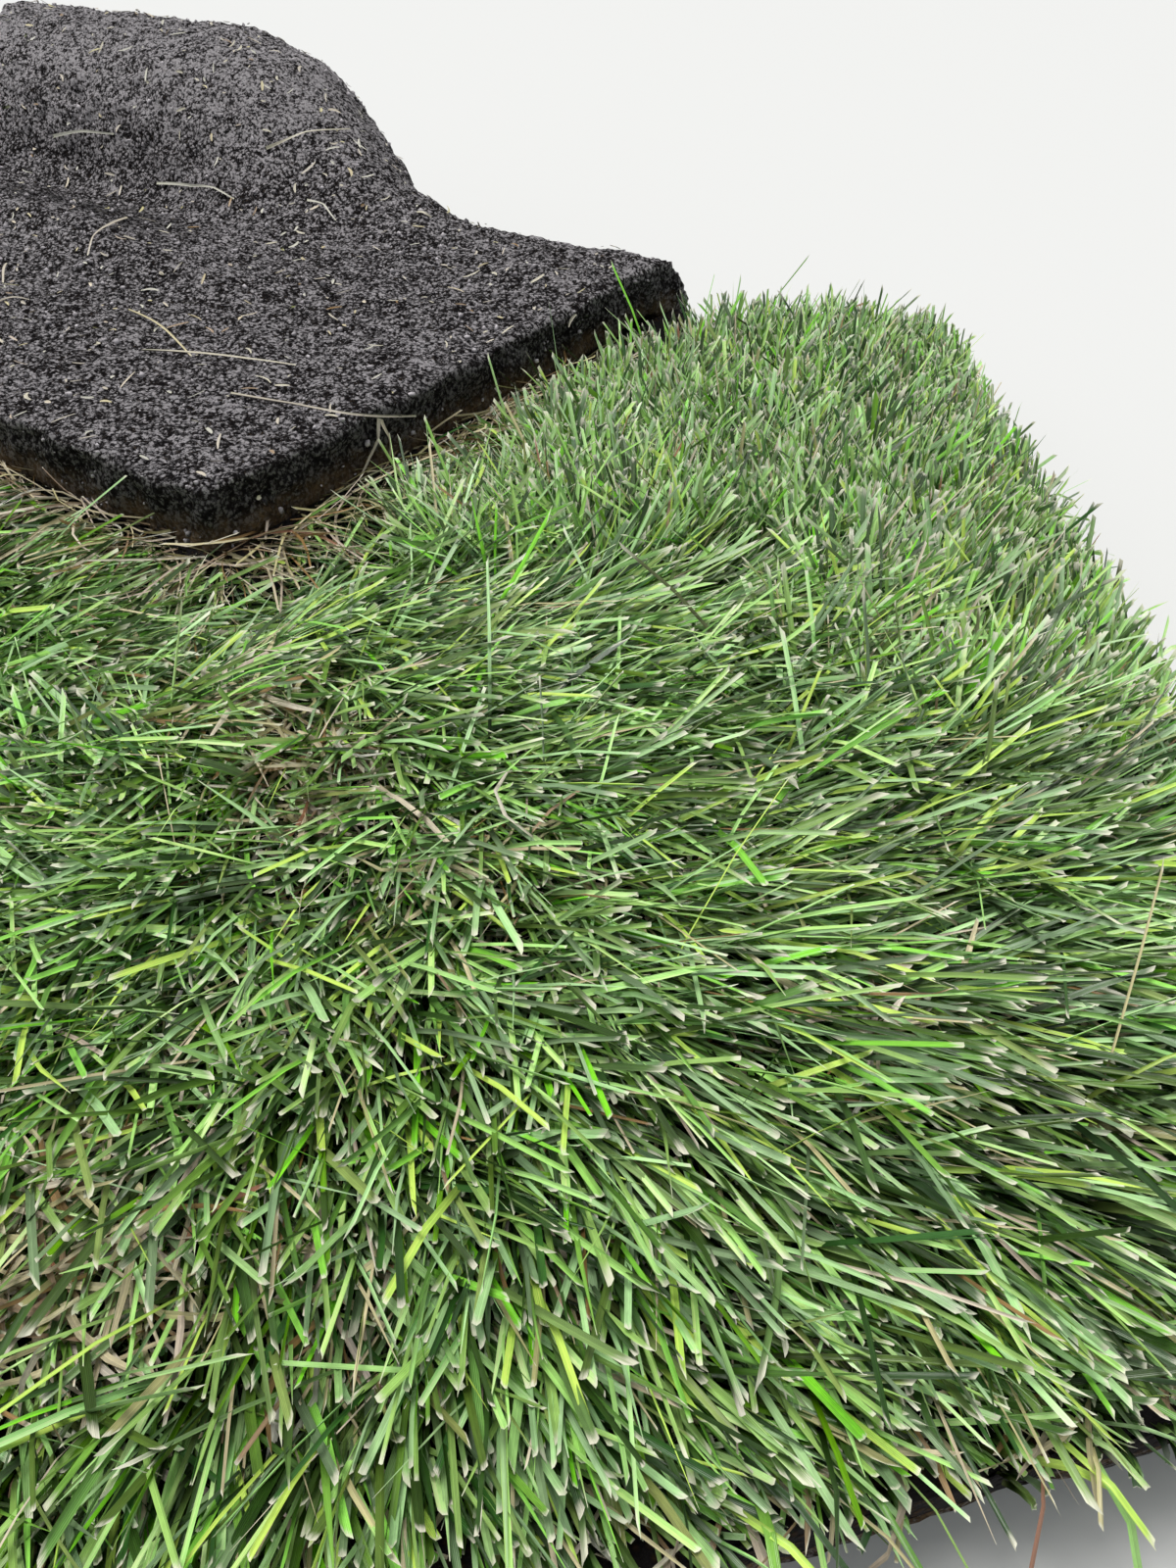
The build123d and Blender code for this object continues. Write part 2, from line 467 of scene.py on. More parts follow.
def grit_group():
    """The height of the grains, fibres and pits that peat and thatch share."""
    name = "grit"
    if name in bpy.data.node_groups:
        return bpy.data.node_groups[name]
    group = bpy.data.node_groups.new(name, "ShaderNodeTree")
    group.interface.new_socket("Vector", in_out="INPUT", socket_type="NodeSocketVector")
    group.interface.new_socket("Scale", in_out="INPUT", socket_type="NodeSocketFloat").default_value = 600
    group.interface.new_socket("Height", in_out="OUTPUT", socket_type="NodeSocketFloat")
    tree = Tree(group)
    source = tree.node("NodeGroupInput")
    where, scale = source.outputs["Vector"], source.outputs["Scale"]
    coarse = tree.noise(where, tree.times(scale, 0.35), 6, 0.65)
    fine = tree.noise(where, tree.times(scale, 2.6), 3)
    cells = tree.node("ShaderNodeTexVoronoi", {"feature": "F1"}, Vector=where, Scale=scale)
    grains = tree.step(cells.outputs["Distance"], 0.62, 0.12)
    height = tree.line(fine, 0.35, tree.line(grains, 0.45, tree.times(coarse, 1.2)))
    tree.node("NodeGroupOutput", Height=height)
    return group


def peat_material(colours):
    """Moist charcoal peat: dark hollows, pale grains and fibres, with painted sheen on the palest grains, painted
    shade on the side near the grass, and brown roots near the grass side.
    """
    material, shader, tree = fresh_material("peat")
    where = tree.node("ShaderNodeTexCoord").outputs["Object"]
    grit = tree.node("ShaderNodeGroup", {"node_tree": grit_group()}, Vector=where, Scale=420)
    dark, light = tuple(colours.peat_dark), tuple(colours.peat_grains_and_sheen)
    middle = tuple(d + (l - d) * 0.13 for d, l in zip(dark, light))

    # Grains of chance brightness in ragged cells, paler higher up; the palest grains are partly pale peat and partly
    # painted sheen of wet grains
    crumb = tree.node("ShaderNodeTexNoise", Vector=where, Scale=560, Detail=4, Roughness=0.8)
    warp = tree.node("ShaderNodeVectorMath", {"operation": "MULTIPLY_ADD"})
    for socket, value in zip(warp.inputs, (crumb.outputs["Color"], (0.004, 0.004, 0.004), where)):
        tree.feed(socket, value)
    cells = tree.node("ShaderNodeTexVoronoi", {"feature": "F1"}, Vector=warp.outputs["Vector"], Scale=600)
    chance = tree.node("ShaderNodeSeparateColor", Color=cells.outputs["Color"]).outputs[0]
    grain = tree.step(cells.outputs["Distance"], 0.75, 0.15)
    high = tree.step(tree.node("ShaderNodeSeparateXYZ", Vector=where).outputs["Z"], 0.07, 0.15)
    tone = tree.times(chance, 0.45)
    for mask, weight in (
        (grain, 0.35), (crumb.outputs["Fac"], 1.2), (tree.noise(where, 90, 3), 0.55), (high, 0.12),
    ):
        tone = tree.line(mask, weight, tone)
    # Painted sheen in part: the top of this ramp stands also for wet grains that mirror the sky
    bright = tree.step(tone, 1.07, 1.50)
    colour = tree.ramp(bright, ((0.0, dark), (0.5, middle), (1.0, light)))

    # Pale fibres, the dark cut side, partly wet peat and partly painted shade, and the brown roots close to the grass
    rings = tree.node("ShaderNodeTexWave", {"wave_type": "RINGS"}, Vector=where, Scale=90, Distortion=38, Detail=3)
    fibre = tree.step(rings.outputs["Fac"], 0.985, 1.0)
    colour = tree.mix(tree.times(fibre, 0.25), colour, (*colours.root_pale, 1))
    roots = tree.node("ShaderNodeAttribute", {"attribute_name": "roots"}).outputs["Fac"]
    # Peat near the grass darker: partly wet peat, partly painted shade
    side_wet_and_shaded = tree.step(roots, 0.10, 0.35)
    colour = tree.mix(tree.times(side_wet_and_shaded, 0.75), colour, (*dark, 1))
    rooty = tree.step(tree.line(tree.noise(where, 140, 4), 0.6, roots), 0.85, 1.25)
    stops = ((0.55, tuple(colours.root_dark)), (1.15, tuple(colours.root_pale)))
    colour = tree.mix(tree.times(rooty, 0.7), colour, tree.ramp(grit.outputs["Height"], stops))

    relief = tree.line(grain, 0.35, crumb.outputs["Fac"])
    bump = tree.node("ShaderNodeBump", Strength=1, Distance=0.004, Height=relief)
    tree.fill(shader, Base_Color=colour, Roughness=tree.line(bright, -0.35, 0.9),
              Specular_IOR_Level=tree.times(bright, 0.5), Normal=bump.outputs["Normal"])
    return material


def crumb_material(colours):
    """Loose crumbs of the same peat, each in its own tone."""
    material, shader, tree = fresh_material("peat_crumb")
    where = tree.node("ShaderNodeTexCoord").outputs["Object"]
    stops = ((0.35, tuple(colours.peat_dark)), (0.7, tuple(colours.peat_grains_and_sheen)))
    tree.fill(shader, Base_Color=tree.ramp(tree.noise(where, 260, 3), stops), Roughness=0.8)
    return material


def thatch_material(colours):
    """The brown mat of old stems that the grass stands in."""
    material, shader, tree = fresh_material("thatch")
    where = tree.node("ShaderNodeTexCoord").outputs["Object"]
    grit = tree.node("ShaderNodeGroup", {"node_tree": grit_group()}, Vector=where, Scale=420).outputs["Height"]
    tone = tree.line(grit, 0.5, tree.times(tree.noise(where, 60, 4), 0.8))
    stops = ((0.45, tuple(colours.peat_dark)), (0.7, tuple(colours.root_dark)), (1.0, tuple(colours.root_pale)))
    bump = tree.node("ShaderNodeBump", Strength=0.9, Distance=0.003, Height=grit)
    tree.fill(shader, Base_Color=tree.ramp(tree.step(tone, 0.2, 1.6), stops), Roughness=0.9,
              Specular_IOR_Level=0.1, Normal=bump.outputs["Normal"])
    return material


def blade_material(colours):
    """Mown grass: a colour for each column of the chart, fine veins, a pale rib, painted shade at the foot and on one
    half of each blade, and a dry, ragged cut tip.
    """
    material, shader, tree = fresh_material("grass_blades")
    chart = tree.node("ShaderNodeUVMap", {"uv_map": CHART}).outputs["UV"]
    split = tree.node("ShaderNodeSeparateXYZ", Vector=chart)
    scaled, along = tree.times(split.outputs["X"], COLUMNS), split.outputs["Y"]
    column = tree.math("FLOOR", scaled)
    across = tree.math("DIVIDE", tree.math("SUBTRACT", tree.math("FRACT", scaled), MARGIN), 1 - 2 * MARGIN)
    off_middle = tree.math("SUBTRACT", across, 0.5)
    dead = tree.math("GREATER_THAN", column, KINDS["olive"][1] - 0.5)

    # Each column's own hue, saturation and value; the dead ones vary less
    stops = [((low + high) / 2 / COLUMNS, tuple(getattr(colours, kind))) for kind, (low, high) in KINDS.items()]
    colour = tree.ramp(tree.line(column, 1 / COLUMNS, 0.5 / COLUMNS), stops)
    chance = tree.node("ShaderNodeTexWhiteNoise", {"noise_dimensions": "1D"}, W=column).outputs["Color"]
    first, second, third = tree.node("ShaderNodeSeparateColor", Color=chance).outputs
    value = tree.line(third, 1.42, 0.24)
    change = tree.math("SUBTRACT", tree.line(third, 0.35, 0.8), value)
    colour = tree.node(
        "ShaderNodeHueSaturation", Color=colour, Hue=tree.line(first, 0.03, 0.485),
        Saturation=tree.line(second, 0.3, 0.85), Value=tree.line(dead, change, value),
    ).outputs["Color"]

    # Veins and a pale rib, then painted shade on one half of the blade, blotches, and painted shade at the foot, each
    # as a slope and a least shade
    patch = tree.node("ShaderNodeCombineXYZ", X=tree.times(scaled, 3), Y=tree.times(along, 12)).outputs[0]
    blotch = tree.noise(patch, 1.6, 3)
    veins = tree.math("SINE", tree.times(across, 44))
    rib = tree.step(tree.math("ABSOLUTE", off_middle), 0.09, 0.0)
    # Painted shade: one half of each blade darker, as if it were folded away from the light
    half = tree.step(tree.times(off_middle, tree.math("SUBTRACT", first, 0.5)), -0.02, 0.02)
    # Painted shade: the lower part of each green blade darker, where the sward would shade it
    lit = tree.math("MAXIMUM", tree.step(along, 0.2, 0.75), dead)
    shade = tree.line(rib, 0.22, tree.line(veins, 0.05, 0.93))
    for mask, slope, least in ((half, 0.24, 0.84), (blotch, 0.56, 0.72), (lit, 0.96, 0.04)):
        shade = tree.times(shade, tree.line(mask, slope, least))
    grey = tree.node("ShaderNodeCombineColor", Red=shade, Green=shade, Blue=shade).outputs[0]
    product = {"data_type": "RGBA", "blend_type": "MULTIPLY", "clamp_result": True}
    colour = tree.node("ShaderNodeMix", product, Factor=1, A=colour, B=grey).outputs["Result"]

    # The pale sheath at the foot and the dry tip
    colour = tree.mix(tree.times(tree.step(along, 0.15, 0.0), 0.2), colour, (*colours.sheath, 1))
    ragged = tree.line(tree.math("SUBTRACT", blotch, 0.5), 0.06, along)
    dry = tree.step(ragged, tree.line(second, 0.06, 0.92), 0.99)
    colour = tree.mix(tree.times(dry, 0.85), colour, (*colours.tip, 1))

    bump = tree.node("ShaderNodeBump", Strength=0.35, Distance=0.0003, Height=veins)
    tree.fill(shader, Base_Color=colour, Roughness=tree.line(blotch, 0.2, 0.22),
              Specular_IOR_Level=tree.times(lit, 0.8), Normal=bump.outputs["Normal"])
    return material


def shared(name, make):
    """A material that several operators use, made once."""
    if name in bpy.data.materials:
        return bpy.data.materials[name]
    return make(bpy.context.scene.turf_colours)


class TurfColours(bpy.types.PropertyGroup):
    """Colours as they look in plain light."""

    def tint(label, words, value):
        return FloatVectorProperty(
            name=label, description=words, subtype="COLOR", size=3, min=0, max=1, default=value,
        )

    peat_dark: tint("Peat, dark", "Hollows of the peat", (0.016, 0.014, 0.015))
    # Partly painted sheen: pale grains, and wet grains that would mirror the sky
    peat_grains_and_sheen: tint("Peat, light", "Raised grains of the peat", (0.740, 0.690, 0.720))
    root_dark: tint("Roots, dark", "Old brown roots", (0.045, 0.026, 0.014))
    root_pale: tint("Roots, pale", "Dry roots and fibres", (0.26, 0.175, 0.100))
    # Painted shade: dark blades that stand in for the shade deep in the sward
    deep: tint("Deep green", "Shaded, dark blades", (0.030, 0.090, 0.013))
    mid: tint("Mid green", "Most of the blades", (0.300, 0.650, 0.075))
    bluish: tint("Bluish green", "Blades with a grey bloom", (0.540, 0.840, 0.420))
    lime: tint("Lime green", "Young, bright blades", (0.420, 0.790, 0.085))
    olive: tint("Olive", "Blades that are drying", (0.480, 0.520, 0.170))
    straw: tint("Straw", "Dry blades", (0.820, 0.690, 0.450))
    cream: tint("Cream", "Bleached bits of stem", (0.860, 0.820, 0.700))
    brown: tint("Brown", "Dead blades", (0.400, 0.270, 0.140))
    rust: tint("Rust", "The odd orange blade", (0.480, 0.200, 0.060))
    sheath: tint("Sheath", "The pale foot of a blade", (0.300, 0.340, 0.150))
    tip: tint("Tip", "The dry cut tip of a blade", (0.930, 0.890, 0.720))
    floor: tint("Floor", "The floor and the backdrop", (0.72, 0.72, 0.71))

    del tint


class TurfSizes(bpy.types.PropertyGroup):
    """Sizes and counts of the grass and the peat."""

    def length(label, words, value):
        return FloatProperty(
            name=label, description=words, subtype="DISTANCE", unit="LENGTH", min=0, default=value,
        )

    def number(label, words, value):
        return IntProperty(name=label, description=words, min=1, default=value)

    blade_width: length("Blade width", "Width of a full-grown blade", 0.0016)
    near_length: length("Length, near", "Length of the blades that are combed down", 0.048)
    far_length: length("Length, far", "Length of the blades that stand", 0.034)
    shoots: number("Shoots", "Shoots on the open part", 15400)
    dead_blades: number("Dead blades", "Dry blades in the thatch", 7600)
    turned_grain: length("Grain, turned part", "Face size on the part that is turned over", 0.0028)
    slab_grain: length("Grain, slab", "Face size on the lower turn", 0.007)
    thatch_grain: length("Grain, thatch", "Face size on the thatch", 0.0085)
    crumbs: number("Crumbs", "Loose crumbs on the peat", 2600)
    crumb_size: length("Crumb size", "Size of a large crumb", 0.0034)
    straws: number("Straws", "Short dry bits on the peat", 640)
    fringe: number("Fringe", "Blades that stick out at the edges of the turned part", 4200)
    lining: number("Lining", "Blades that line the loop", 1100)

    del length, number


class TurfStage(bpy.types.PropertyGroup):
    """Camera, floor and lights."""

    camera_place: FloatVectorProperty(
        name="Camera", description="Place of the camera", subtype="XYZ", unit="LENGTH",
        default=(0.3863, -0.2478, 0.283),
    )
    camera_turn: FloatVectorProperty(
        name="Camera turn", description="Turn of the camera", subtype="EULER",
        default=(math.radians(49.3), 0, math.radians(30)),
    )
    lens: FloatProperty(name="Lens", description="Focal length in mm on a 36 mm sensor", default=27.0)
    sky: FloatProperty(name="Sky", description="Strength of the even light", default=0.45)
    key: FloatProperty(name="Key", description="Strength of the soft sun", default=2.7)


class TURF_OT_stage(bpy.types.Operator):
    """Make the floor, the soft light and the camera"""

    bl_idname = "turf.stage"
    bl_label = "Stage"

    def execute(self, context):
        stage = context.scene.turf_stage
        material, shader, tree = fresh_material("floor")
        tree.fill(shader, Base_Color=(*context.scene.turf_colours.floor, 1), Roughness=0.9)
        shape = bmesh.new()
        bmesh.ops.create_grid(shape, x_segments=1, y_segments=1, size=12)
        mesh = bpy.data.meshes.new("floor")
        shape.to_mesh(mesh)
        shape.free()
        mesh.materials.append(material)
        floor = link("floor", mesh)
        self.light_sky(context.scene, stage)
        sun = bpy.data.lights.new("soft_sun", "SUN")
        sun.energy = stage.key
        sun.angle = math.radians(35)
        sun.color = (1.0, 0.985, 0.96)
        link("soft_sun", sun).rotation_euler = (math.radians(-5), math.radians(-16), 0)
        camera = bpy.data.cameras.new("camera")
        camera.lens = stage.lens
        camera.sensor_width = SENSOR
        camera.clip_start = 0.01
        stand = link("camera", camera)
        stand.location = stage.camera_place
        stand.rotation_euler = stage.camera_turn
        context.scene.camera = stand
        context.scene.view_settings.view_transform = "Standard"
        return {"FINISHED"}

    def light_sky(self, scene, stage):
        """An even pale sky, a little cooler than the sun, seen as near white."""
        world = bpy.data.worlds.new("sky")
        scene.world = world
        world.use_nodes = True
        tree = Tree(world.node_tree)
        even = world.node_tree.nodes["Background"]
        tree.fill(even, Color=(0.93, 0.97, 1.0, 1), Strength=stage.sky)
        seen = tree.node("ShaderNodeBackground", Color=(0.93, 0.93, 0.92, 1), Strength=1.0)
        path = tree.node("ShaderNodeLightPath").outputs["Is Camera Ray"]
        choice = tree.node("ShaderNodeMixShader")
        for socket, value in zip(choice.inputs, (path, even.outputs[0], seen.outputs[0])):
            tree.feed(socket, value)
        tree.feed(world.node_tree.nodes["World Output"].inputs["Surface"], choice.outputs[0])


class TURF_OT_peat(bpy.types.Operator):
    """Make the crumbly peat of the lower turn and of the part that is turned over"""

    bl_idname = "turf.peat"
    bl_label = "Peat"

    def execute(self, context):
        sizes = context.scene.turf_sizes
        material = shared("peat", peat_material)
        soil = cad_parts["soil_mat"]
        grass_side = node_tree("grass_sward")
        turned = even_copy("peat_turned", soil, sizes.turned_grain, 6, above=SOIL_TOP + 0.0006)
        slab = even_copy("peat_slab", soil, sizes.slab_grain, 2, below=SOIL_TOP + 0.006)
        for mesh, lump, grain in ((turned, 0.0016, 0.0016), (slab, 0.0012, 0.0010)):
            paint_roots(mesh, grass_side, 0.032)
            crumble(mesh, lump, grain, 0.0016)
            mesh.materials.clear()
            mesh.materials.append(material)
            piece = place(mesh.name, mesh)
            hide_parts("soil_mat")
        return {"FINISHED"}


class TURF_OT_crumbs(bpy.types.Operator):
    """Scatter loose crumbs over the upturned peat"""

    bl_idname = "turf.crumbs"
    bl_label = "Crumbs"

    def execute(self, context):
        sizes = context.scene.turf_sizes
        rng = np.random.default_rng(11)
        chosen, normals = surface_points(bpy.data.objects["peat_turned"].data, rng, sizes.crumbs, -0.2)
        ball, faces = template(bmesh.ops.create_icosphere, subdivisions=1, radius=1)
        count = len(chosen)
        size = sizes.crumb_size * 0.5 * (0.25 + 0.75 * rng.random((count, 1, 1)) ** 3)
        knobbly = ball[None] * (0.65 + 0.7 * rng.random((count, len(ball), 1)))
        stretch = 0.7 + 0.6 * rng.random((count, 1, 3))
        points = chosen[:, None] + normals[:, None] * size * 0.35 + knobbly * stretch * size
        piece = joined("peat_crumbs", points, faces, shared("peat_crumb", crumb_material))
        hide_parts("soil_mat")
        return {"FINISHED"}


def surface_points(mesh, rng, count, least_up):
    """Random points on the faces that look up at least so much, with the faces' normals."""
    faces = len(mesh.polygons)
    centres, normals, areas = np.empty(faces * 3), np.empty(faces * 3), np.empty(faces)
    mesh.polygons.foreach_get("center", centres)
    mesh.polygons.foreach_get("normal", normals)
    mesh.polygons.foreach_get("area", areas)
    centres, normals = centres.reshape(-1, 3), normals.reshape(-1, 3)
    weight = areas * (normals[:, 2] > least_up)
    picked = rng.choice(faces, count, p=weight / weight.sum())
    return centres[picked], normals[picked]


def on_faces(normals, heading, flatten=1.0):
    """Directions along faces at a heading, and across them, with the heading's Y flattened by a share."""
    along = np.stack((np.cos(heading), flatten * np.sin(heading), np.zeros(len(heading))), axis=-1)
    along = along - normals * (along * normals).sum(axis=1, keepdims=True)
    along /= np.linalg.norm(along, axis=1, keepdims=True)
    return along[:, None], np.cross(normals, along)[:, None]


class TURF_OT_straws(bpy.types.Operator):
    """Lay short dry bits and long stalks on the upturned peat"""

    bl_idname = "turf.straws"
    bl_label = "Straws"

    def execute(self, context):
        sizes = context.scene.turf_sizes
        rng = np.random.default_rng(23)
        peat = bpy.data.objects["peat_turned"].data
        points, normals = surface_points(peat, rng, sizes.straws, 0.35)
        count = len(points)
        length = 0.0022 + 0.009 * rng.random(count) ** 2.2
        width = 0.0007 + 0.0011 * rng.random(count)
        along, side = on_faces(normals, rng.random(count) * 2 * math.pi)
        share = np.linspace(-0.5, 0.5, 4)[None, :, None]
        bow = (0.25 - share ** 2) * (rng.normal(0, 0.35, count) * length)[:, None, None]
        out = normals[:, None]
        lift = 0.0007 + 0.0012 * rng.random((count, 1, 1))
        spine = points[:, None] + along * share * length[:, None, None] + side * bow + out * lift
        column = pick(rng, count, cream=0.66, straw=0.22, olive=0.02, brown=0.10)
        slant = rng.normal(0, 0.1, count)
        bits = ribbons("straw_bits", spine, side, out, width, 0.5, column, slant, (0.6, 1, 1, 0.5))
        stalks = self.stalks(context)
        for piece in (bits, stalks):
            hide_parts("soil_mat")
        return {"FINISHED"}

    def stalks(self, context):
        """The long stalks, laid on the peat where the camera sees them."""
        stage = context.scene.turf_stage
        tree = BVHTree.FromObject(bpy.data.objects["peat_turned"], context.evaluated_depsgraph_get())
        rows = 12
        lift = 0.0012 + 0.002 * np.sin(np.linspace(0, math.pi, rows + 1))[:, None]
        spines, normals = [], []
        for pixels in STALKS:
            whole = np.arange(len(pixels))
            share = np.linspace(0, len(pixels) - 1, rows + 1)
            spine, up = (
                np.stack([np.interp(share, whole, values) for values in np.array(knots).T], axis=-1)
                for knots in zip(*(on_surface(tree, stage, pixel) for pixel in pixels))
            )
            for _ in range(3):
                spine[1:-1] = (spine[:-2] + spine[1:-1] * 2 + spine[2:]) / 4
            spines.append(spine + up * lift)
            normals.append(up / np.linalg.norm(up, axis=1, keepdims=True))
        spine, out = np.array(spines), np.array(normals)
        side = np.cross(out, np.gradient(spine, axis=1))
        side /= np.linalg.norm(side, axis=2, keepdims=True)
        count = len(spine)
        rng = np.random.default_rng(29)
        column = pick(rng, count, cream=0.7, straw=0.3)
        width = 0.0015 + 0.0008 * rng.random(count)
        taper = np.linspace(1, 0.45, rows + 1)
        return ribbons("stalks", spine, side, out, width, 0.9, column, np.zeros(count), taper)


def on_surface(tree, stage, pixel):
    """Where the camera's ray through a pixel of the picture meets a surface, and its normal there."""
    focal = stage.lens / SENSOR * PICTURE[1]
    ray = Vector((pixel[0] - PICTURE[0] / 2, PICTURE[1] / 2 - pixel[1], -focal))
    ray = stage.camera_turn.to_matrix() @ ray
    hit, normal, _, _ = tree.ray_cast(Vector(stage.camera_place), ray.normalized())
    if hit is None:
        raise ValueError(f"nothing lies behind pixel {pixel}")
    return hit[:], normal[:]


class TURF_OT_thatch(bpy.types.Operator):
    """Make the brown mat that the grass stands in, and the dry blades in it"""

    bl_idname = "turf.thatch"
    bl_label = "Thatch"

    def execute(self, context):
        sizes = context.scene.turf_sizes
        soil = node_tree("soil_mat")
        mat = even_copy("thatch_mat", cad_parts["grass_sward"], sizes.thatch_grain, 1)
        ceiling, sunk, thinnest, steep = SOIL_TOP + 0.03, 0.0015, 0.0004, 0.5
        points, normals = read_points(mat)
        for index, point in enumerate(points):
            where = Vector(point)
            if where.z > ceiling or soil.ray_cast(where, UP)[0] is not None:
                points[index] = point - normals[index] * sunk
                continue
            near, normal = soil.find_nearest(where)[:2]
            thick = 0.0018 + 0.0022 * noise.noise(where * 120)
            if normal.z < steep:
                thick = thick / 2
            points[index] = near + normal * max(thick, thinnest)
        mat.vertices.foreach_set("co", points.ravel())
        mat.update()
        mat.materials.clear()
        mat.materials.append(shared("thatch", thatch_material))
        bed = place("thatch_mat", mat)
        litter = self.litter(sizes)
        for piece in (bed, litter):
            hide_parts("grass_sward")
        return {"FINISHED"}

    def litter(self, sizes):
        """Short dry blades that lie in all directions under the green ones."""
        rng = np.random.default_rng(31)
        ground = open_ground()
        thin = closeness(THIN, *to_strip(ground.open_cells))
        weight = 0.13 + thin + ground.near_turned(ground.open_cells, 0.012)
        picked = rng.choice(len(weight), sizes.dead_blades, p=weight / weight.sum())
        count = len(picked)
        chosen = ground.within(rng, picked)
        deep = 0.006 + 0.010 * thin[picked]
        roots = np.column_stack((chosen, SOIL_TOP + 0.002 + deep * rng.random(count)))
        heading = rng.random(count) * 2 * math.pi
        rise = np.radians(rng.normal(12, 9, count))
        fall = np.radians(rng.normal(-6, 9, count))
        length = 0.012 + 0.022 * rng.random(count)
        spine, bearings, pitches = grow(roots, heading, rise, fall, length, rng.normal(0, 0.9, count), 3)
        side, out = blade_axes(bearings, pitches, rng.normal(0, 0.7, (count, 1)))
        column = pick(rng, count, straw=0.6, cream=0.08, brown=0.26, olive=0.04, rust=0.02)
        width = 0.0009 + 0.0012 * rng.random(count)
        slant = rng.normal(0, 0.15, count)
        return ribbons("dead_blades", spine, side, out, width, 0, column, slant, (0.8, 1, 0.9, 0.5))


def open_ground():
    """The soil's height grid, worked out once."""
    if "ground" not in worked_out:
        worked_out["ground"] = Ground(node_tree("soil_mat"))
    return worked_out["ground"]


def combing(across, along):
    """The sward's heading and lean at places on the strip, blended from the combed strokes."""
    strokes = np.array(COMBED)
    gap = (across[:, None] - strokes[None, :, 0]) ** 2 + (along[:, None] - strokes[None, :, 1]) ** 2
    weight = 1 / (gap + 12.0 ** 2) ** 2
    weight /= weight.sum(axis=1, keepdims=True)
    angle = np.radians(strokes[:, 2])
    heading = np.arctan2(weight @ np.sin(angle), weight @ np.cos(angle))
    return heading, weight @ strokes[:, 3]


def closeness(spots, across, along):
    """How close places on the strip are to the nearest of some spots: 1 at its middle, 0 beyond its radius."""
    middles = np.array(spots)
    gap = np.hypot(across[:, None] - middles[None, :, 0], along[:, None] - middles[None, :, 1])
    return np.clip(1.25 - gap / middles[None, :, 2], 0, 1).max(axis=1)


def patches(places, scale, layer):
    """Noise at places in the frame, from a layer of its own."""
    return np.array([noise.noise(Vector((x * scale, y * scale, layer))) for x, y in places])


